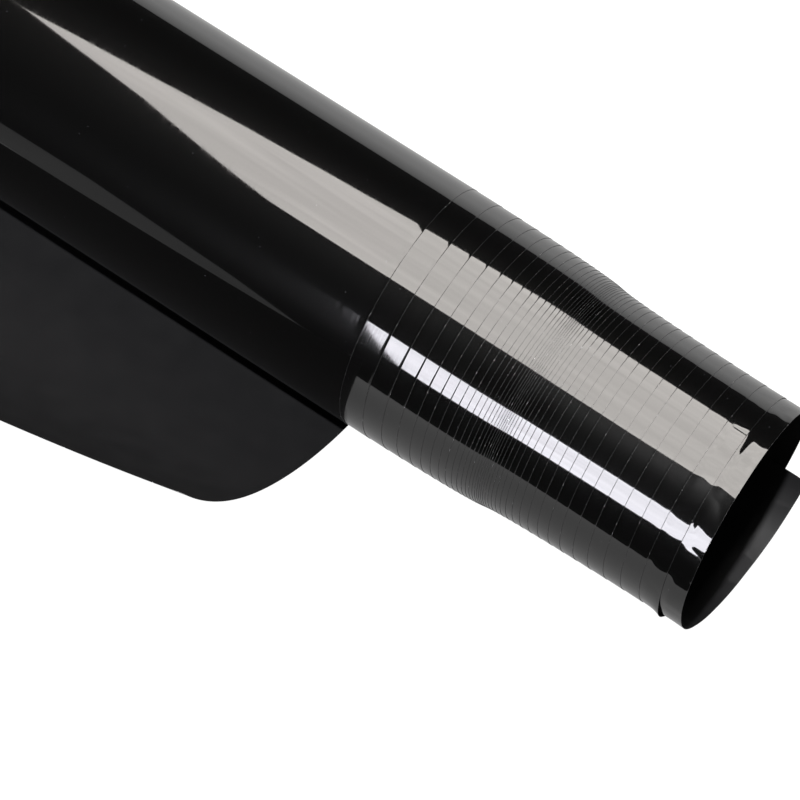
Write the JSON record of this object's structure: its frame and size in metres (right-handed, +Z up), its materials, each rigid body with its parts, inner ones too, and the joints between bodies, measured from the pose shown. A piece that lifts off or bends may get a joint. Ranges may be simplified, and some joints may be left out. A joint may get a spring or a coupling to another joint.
{
  "type": "roll of sign vinyl",
  "caption": "Coreless roll of black self-adhesive sign film, slipped sideways into a stepped cone, with its free end curling up beside it.",
  "frame": {"origin": "on the surface that the roll rests on, under its axis, at the middle of the outermost turn", "axes": "+X along the roll's axis towards the end where the inner turns have slipped out, +Z up, free end of the film towards -Y"},
  "size_m": [0.4432, 0.1664, 0.0835],
  "materials": {
    "face_film": "black PVC face film, cast smooth, high gloss",
    "film_back": "dark satin back of the film, its adhesive side"
  },
  "bodies": {
    "outer_turn_and_tail_root": {"film_wrap_01": "face_film", "tail_root": "film_back"},
    "turn_02": {"film_wrap_02": "face_film"},
    "turn_03": {"film_wrap_03": "face_film"},
    "turn_04": {"film_wrap_04": "face_film"},
    "turn_05": {"film_wrap_05": "face_film"},
    "turn_06": {"film_wrap_06": "face_film"},
    "turn_07": {"film_wrap_07": "face_film"},
    "turn_08": {"film_wrap_08": "face_film"},
    "turn_09": {"film_wrap_09": "face_film"},
    "turn_10": {"film_wrap_10": "face_film"},
    "turn_11": {"film_wrap_11": "face_film"},
    "turn_12": {"film_wrap_12": "face_film"},
    "turn_13": {"film_wrap_13": "face_film"},
    "turn_14": {"film_wrap_14": "face_film"},
    "turn_15": {"film_wrap_15": "face_film"},
    "turn_16": {"film_wrap_16": "face_film"},
    "turn_17": {"film_wrap_17": "face_film"},
    "turn_18": {"film_wrap_18": "face_film"},
    "turn_19": {"film_wrap_19": "face_film"},
    "turn_20": {"film_wrap_20": "face_film"},
    "turn_21": {"film_wrap_21": "face_film"},
    "turn_22": {"film_wrap_22": "face_film"},
    "turn_23": {"film_wrap_23": "face_film"},
    "turn_24": {"film_wrap_24": "face_film"},
    "turn_25": {"film_wrap_25": "face_film"},
    "turn_26": {"film_wrap_26": "face_film"},
    "turn_27": {"film_wrap_27": "face_film"},
    "turn_28": {"film_wrap_28": "face_film"},
    "turn_29": {"film_wrap_29": "face_film"},
    "turn_30": {"film_wrap_30": "face_film"},
    "turn_31": {"film_wrap_31": "face_film"},
    "turn_32": {"film_wrap_32": "face_film"},
    "turn_33": {"film_wrap_33": "face_film"},
    "turn_34": {"film_wrap_34": "face_film"},
    "turn_35": {"film_wrap_35": "face_film"},
    "turn_36": {"film_wrap_36": "face_film"},
    "turn_37": {"film_wrap_37": "face_film"},
    "turn_38": {"film_wrap_38": "face_film"},
    "turn_39": {"film_wrap_39": "face_film"},
    "tail_middle": {"tail_middle": "film_back"},
    "tail_end": {"tail_end": "film_back"}
  },
  "joints": [
    {"name": "slip_of_turn_39", "type": "slide", "parent": "outer_turn_and_tail_root", "child": "turn_39", "axis": [1, 0, 0], "range_m": [-0.1233, 0.025]},
    {"name": "slip_of_turn_02", "type": "slide", "parent": "outer_turn_and_tail_root", "child": "turn_02", "axis": [1, 0, 0], "range_m": [-0.00698, 0.00152]},
    {"name": "slip_of_turn_03", "type": "slide", "parent": "outer_turn_and_tail_root", "child": "turn_03", "axis": [1, 0, 0], "range_m": [-0.01524, 0.00322]},
    {"name": "slip_of_turn_04", "type": "slide", "parent": "outer_turn_and_tail_root", "child": "turn_04", "axis": [1, 0, 0], "range_m": [-0.02193, 0.0046]},
    {"name": "slip_of_turn_05", "type": "slide", "parent": "outer_turn_and_tail_root", "child": "turn_05", "axis": [1, 0, 0], "range_m": [-0.02744, 0.00573]},
    {"name": "slip_of_turn_06", "type": "slide", "parent": "outer_turn_and_tail_root", "child": "turn_06", "axis": [1, 0, 0], "range_m": [-0.03207, 0.00668]},
    {"name": "slip_of_turn_07", "type": "slide", "parent": "outer_turn_and_tail_root", "child": "turn_07", "axis": [1, 0, 0], "range_m": [-0.036, 0.00749]},
    {"name": "slip_of_turn_08", "type": "slide", "parent": "outer_turn_and_tail_root", "child": "turn_08", "axis": [1, 0, 0], "range_m": [-0.03936, 0.00819]},
    {"name": "slip_of_turn_09", "type": "slide", "parent": "outer_turn_and_tail_root", "child": "turn_09", "axis": [1, 0, 0], "range_m": [-0.04226, 0.00878]},
    {"name": "slip_of_turn_10", "type": "slide", "parent": "outer_turn_and_tail_root", "child": "turn_10", "axis": [1, 0, 0], "range_m": [-0.04476, 0.0093]},
    {"name": "slip_of_turn_11", "type": "slide", "parent": "outer_turn_and_tail_root", "child": "turn_11", "axis": [1, 0, 0], "range_m": [-0.04692, 0.00975]},
    {"name": "slip_of_turn_12", "type": "slide", "parent": "outer_turn_and_tail_root", "child": "turn_12", "axis": [1, 0, 0], "range_m": [-0.0488, 0.01013]},
    {"name": "slip_of_turn_13", "type": "slide", "parent": "outer_turn_and_tail_root", "child": "turn_13", "axis": [1, 0, 0], "range_m": [-0.05043, 0.01047]},
    {"name": "slip_of_turn_14", "type": "slide", "parent": "outer_turn_and_tail_root", "child": "turn_14", "axis": [1, 0, 0], "range_m": [-0.05183, 0.01076]},
    {"name": "slip_of_turn_15", "type": "slide", "parent": "outer_turn_and_tail_root", "child": "turn_15", "axis": [1, 0, 0], "range_m": [-0.05305, 0.011]},
    {"name": "slip_of_turn_16", "type": "slide", "parent": "outer_turn_and_tail_root", "child": "turn_16", "axis": [1, 0, 0], "range_m": [-0.05408, 0.01122]},
    {"name": "slip_of_turn_17", "type": "slide", "parent": "outer_turn_and_tail_root", "child": "turn_17", "axis": [1, 0, 0], "range_m": [-0.05496, 0.0114]},
    {"name": "slip_of_turn_18", "type": "slide", "parent": "outer_turn_and_tail_root", "child": "turn_18", "axis": [1, 0, 0], "range_m": [-0.0557, 0.01155]},
    {"name": "slip_of_turn_19", "type": "slide", "parent": "outer_turn_and_tail_root", "child": "turn_19", "axis": [1, 0, 0], "range_m": [-0.05634, 0.01168]},
    {"name": "slip_of_turn_20", "type": "slide", "parent": "outer_turn_and_tail_root", "child": "turn_20", "axis": [1, 0, 0], "range_m": [-0.057, 0.01182]},
    {"name": "slip_of_turn_21", "type": "slide", "parent": "outer_turn_and_tail_root", "child": "turn_21", "axis": [1, 0, 0], "range_m": [-0.05774, 0.01197]},
    {"name": "slip_of_turn_22", "type": "slide", "parent": "outer_turn_and_tail_root", "child": "turn_22", "axis": [1, 0, 0], "range_m": [-0.05861, 0.01215]},
    {"name": "slip_of_turn_23", "type": "slide", "parent": "outer_turn_and_tail_root", "child": "turn_23", "axis": [1, 0, 0], "range_m": [-0.05965, 0.01237]},
    {"name": "slip_of_turn_24", "type": "slide", "parent": "outer_turn_and_tail_root", "child": "turn_24", "axis": [1, 0, 0], "range_m": [-0.06091, 0.01263]},
    {"name": "slip_of_turn_25", "type": "slide", "parent": "outer_turn_and_tail_root", "child": "turn_25", "axis": [1, 0, 0], "range_m": [-0.06241, 0.01294]},
    {"name": "slip_of_turn_26", "type": "slide", "parent": "outer_turn_and_tail_root", "child": "turn_26", "axis": [1, 0, 0], "range_m": [-0.06419, 0.0133]},
    {"name": "slip_of_turn_27", "type": "slide", "parent": "outer_turn_and_tail_root", "child": "turn_27", "axis": [1, 0, 0], "range_m": [-0.06628, 0.01373]},
    {"name": "slip_of_turn_28", "type": "slide", "parent": "outer_turn_and_tail_root", "child": "turn_28", "axis": [1, 0, 0], "range_m": [-0.0687, 0.01423]},
    {"name": "slip_of_turn_29", "type": "slide", "parent": "outer_turn_and_tail_root", "child": "turn_29", "axis": [1, 0, 0], "range_m": [-0.07149, 0.0148]},
    {"name": "slip_of_turn_30", "type": "slide", "parent": "outer_turn_and_tail_root", "child": "turn_30", "axis": [1, 0, 0], "range_m": [-0.07465, 0.01546]},
    {"name": "slip_of_turn_31", "type": "slide", "parent": "outer_turn_and_tail_root", "child": "turn_31", "axis": [1, 0, 0], "range_m": [-0.07823, 0.01619]},
    {"name": "slip_of_turn_32", "type": "slide", "parent": "outer_turn_and_tail_root", "child": "turn_32", "axis": [1, 0, 0], "range_m": [-0.08223, 0.01702]},
    {"name": "slip_of_turn_33", "type": "slide", "parent": "outer_turn_and_tail_root", "child": "turn_33", "axis": [1, 0, 0], "range_m": [-0.08668, 0.01793]},
    {"name": "slip_of_turn_34", "type": "slide", "parent": "outer_turn_and_tail_root", "child": "turn_34", "axis": [1, 0, 0], "range_m": [-0.0916, 0.01895]},
    {"name": "slip_of_turn_35", "type": "slide", "parent": "outer_turn_and_tail_root", "child": "turn_35", "axis": [1, 0, 0], "range_m": [-0.09701, 0.02006]},
    {"name": "slip_of_turn_36", "type": "slide", "parent": "outer_turn_and_tail_root", "child": "turn_36", "axis": [1, 0, 0], "range_m": [-0.10293, 0.02128]},
    {"name": "slip_of_turn_37", "type": "slide", "parent": "outer_turn_and_tail_root", "child": "turn_37", "axis": [1, 0, 0], "range_m": [-0.10937, 0.02261]},
    {"name": "slip_of_turn_38", "type": "slide", "parent": "outer_turn_and_tail_root", "child": "turn_38", "axis": [1, 0, 0], "range_m": [-0.11636, 0.02405]},
    {"name": "tail_lift", "type": "hinge", "parent": "outer_turn_and_tail_root", "child": "tail_middle", "pos_m": [-0.0024, -0.03412, 0.0033], "axis": [-1, -0.0011, -0.0072], "range_deg": [-8, 40], "stiffness_Nm_per_rad": 0.1, "springref_deg": 1.72},
    {"name": "tail_curl", "type": "hinge", "parent": "tail_middle", "child": "tail_end", "pos_m": [-0.00539, -0.08268, 0.02469], "axis": [-0.9984, -0.0225, -0.0519], "range_deg": [-26, 38], "stiffness_Nm_per_rad": 0.05, "springref_deg": 0.69}
  ],
  "couplings": [
    {"joint": "slip_of_turn_02", "follows": "slip_of_turn_39", "ratio": 0.055534},
    {"joint": "slip_of_turn_03", "follows": "slip_of_turn_39", "ratio": 0.12233},
    {"joint": "slip_of_turn_04", "follows": "slip_of_turn_39", "ratio": 0.17629},
    {"joint": "slip_of_turn_05", "follows": "slip_of_turn_39", "ratio": 0.22086},
    {"joint": "slip_of_turn_06", "follows": "slip_of_turn_39", "ratio": 0.25825},
    {"joint": "slip_of_turn_07", "follows": "slip_of_turn_39", "ratio": 0.28999},
    {"joint": "slip_of_turn_08", "follows": "slip_of_turn_39", "ratio": 0.31714},
    {"joint": "slip_of_turn_09", "follows": "slip_of_turn_39", "ratio": 0.34052},
    {"joint": "slip_of_turn_10", "follows": "slip_of_turn_39", "ratio": 0.36072},
    {"joint": "slip_of_turn_11", "follows": "slip_of_turn_39", "ratio": 0.37822},
    {"joint": "slip_of_turn_12", "follows": "slip_of_turn_39", "ratio": 0.39339},
    {"joint": "slip_of_turn_13", "follows": "slip_of_turn_39", "ratio": 0.40653},
    {"joint": "slip_of_turn_14", "follows": "slip_of_turn_39", "ratio": 0.41789},
    {"joint": "slip_of_turn_15", "follows": "slip_of_turn_39", "ratio": 0.42766},
    {"joint": "slip_of_turn_16", "follows": "slip_of_turn_39", "ratio": 0.43603},
    {"joint": "slip_of_turn_17", "follows": "slip_of_turn_39", "ratio": 0.44314},
    {"joint": "slip_of_turn_18", "follows": "slip_of_turn_39", "ratio": 0.4491},
    {"joint": "slip_of_turn_19", "follows": "slip_of_turn_39", "ratio": 0.45432},
    {"joint": "slip_of_turn_20", "follows": "slip_of_turn_39", "ratio": 0.45964},
    {"joint": "slip_of_turn_21", "follows": "slip_of_turn_39", "ratio": 0.4656},
    {"joint": "slip_of_turn_22", "follows": "slip_of_turn_39", "ratio": 0.47262},
    {"joint": "slip_of_turn_23", "follows": "slip_of_turn_39", "ratio": 0.48105},
    {"joint": "slip_of_turn_24", "follows": "slip_of_turn_39", "ratio": 0.49119},
    {"joint": "slip_of_turn_25", "follows": "slip_of_turn_39", "ratio": 0.50332},
    {"joint": "slip_of_turn_26", "follows": "slip_of_turn_39", "ratio": 0.51771},
    {"joint": "slip_of_turn_27", "follows": "slip_of_turn_39", "ratio": 0.53458},
    {"joint": "slip_of_turn_28", "follows": "slip_of_turn_39", "ratio": 0.55415},
    {"joint": "slip_of_turn_29", "follows": "slip_of_turn_39", "ratio": 0.57663},
    {"joint": "slip_of_turn_30", "follows": "slip_of_turn_39", "ratio": 0.60221},
    {"joint": "slip_of_turn_31", "follows": "slip_of_turn_39", "ratio": 0.63108},
    {"joint": "slip_of_turn_32", "follows": "slip_of_turn_39", "ratio": 0.66341},
    {"joint": "slip_of_turn_33", "follows": "slip_of_turn_39", "ratio": 0.69937},
    {"joint": "slip_of_turn_34", "follows": "slip_of_turn_39", "ratio": 0.73912},
    {"joint": "slip_of_turn_35", "follows": "slip_of_turn_39", "ratio": 0.78282},
    {"joint": "slip_of_turn_36", "follows": "slip_of_turn_39", "ratio": 0.83062},
    {"joint": "slip_of_turn_37", "follows": "slip_of_turn_39", "ratio": 0.88266},
    {"joint": "slip_of_turn_38", "follows": "slip_of_turn_39", "ratio": 0.93907}
  ]
}
